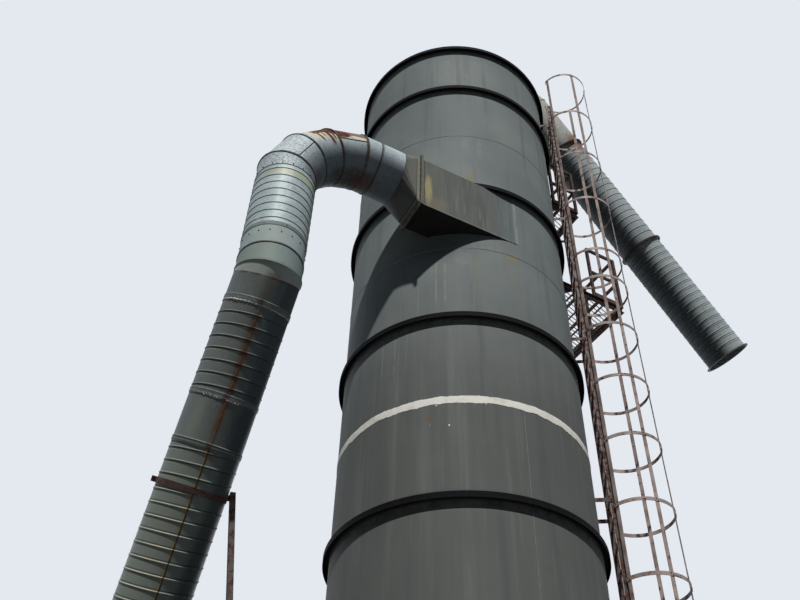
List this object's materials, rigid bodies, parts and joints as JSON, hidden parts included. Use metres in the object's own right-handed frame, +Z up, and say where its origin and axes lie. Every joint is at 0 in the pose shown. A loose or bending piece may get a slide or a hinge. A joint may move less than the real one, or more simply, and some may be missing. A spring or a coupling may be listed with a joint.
{
  "type": "round baghouse dust collector",
  "caption": "Tall round filter tower on a braced stand, with a hopper, a tangential inlet duct, a gooseneck outlet duct, a caged ladder and landings.",
  "frame": {"origin": "axis of the tower at ground level, the centre of the anchor bolt circle under the base plates", "axes": "+Z up along the tower's axis, -Y towards the side in the picture, +X to its right, where the ladder stands"},
  "size_m": [9.5614, 6.2076, 17.3533],
  "materials": {
    "shell_paint": "satin dark blue grey paint, streaked",
    "ring_paint": "near black paint",
    "inlet_paint": "dark grey brown paint with ochre stains",
    "galvanised_spangled": "spangled zinc, weathered pale",
    "galvanised_weathered": "dull dark zinc with rust streaks",
    "flange_steel": "dark rusted steel",
    "joint_sealant": "ragged white sealant over a steel lap band",
    "rusty_steel": "dark brown rusted steel",
    "cage_paint": "worn beige paint with rust",
    "grating_steel": "dark galvanised grating",
    "stand_paint": "dark grey paint"
  },
  "bodies": {
    "root": {"base_plates": "stand_paint", "hopper": "stand_paint", "hopper_flange": "flange_steel", "inlet_box": "inlet_paint", "inlet_elbow": "galvanised_spangled", "inlet_flanges": "inlet_paint", "inlet_transition": "inlet_paint", "joint_bands": "joint_sealant", "ladder": "rusty_steel", "ladder_brackets": "rusty_steel", "landing_frame": "rusty_steel", "landing_grating": "grating_steel", "landing_railing": "rusty_steel", "leg_braces": "stand_paint", "legs": "stand_paint", "lower_cage": "cage_paint", "outlet_collar": "galvanised_spangled", "outlet_duct_1": "galvanised_spangled", "outlet_duct_2": "galvanised_spangled", "outlet_elbow_crown": "galvanised_spangled", "outlet_elbow_falling": "galvanised_spangled", "outlet_elbow_rising": "galvanised_spangled", "outlet_end_flange": "flange_steel", "outlet_flanges": "flange_steel", "outlet_neck": "galvanised_spangled", "rim_ring": "ring_paint", "ring_girder": "ring_paint", "riser_bend": "galvanised_weathered", "riser_duct": "galvanised_spangled", "roof": "shell_paint", "shell_course_1": "shell_paint", "shell_course_2": "shell_paint", "shell_course_3": "shell_paint", "shell_course_4": "shell_paint", "slant_duct_1": "galvanised_weathered", "slant_duct_2": "galvanised_weathered", "slant_duct_3": "galvanised_weathered", "slant_duct_4": "galvanised_weathered", "slant_end_flange": "flange_steel", "slant_flanges": "flange_steel", "stiffener_ring_1": "ring_paint", "stiffener_ring_2": "ring_paint", "stiffener_ring_3": "ring_paint", "stiffener_ring_4": "ring_paint", "support_band": "rusty_steel", "support_post": "rusty_steel", "support_post_plate": "rusty_steel", "upper_cage": "cage_paint", "upper_landing_frame": "rusty_steel", "upper_landing_grating": "grating_steel", "upper_landing_railing": "rusty_steel"}
  },
  "joints": []
}
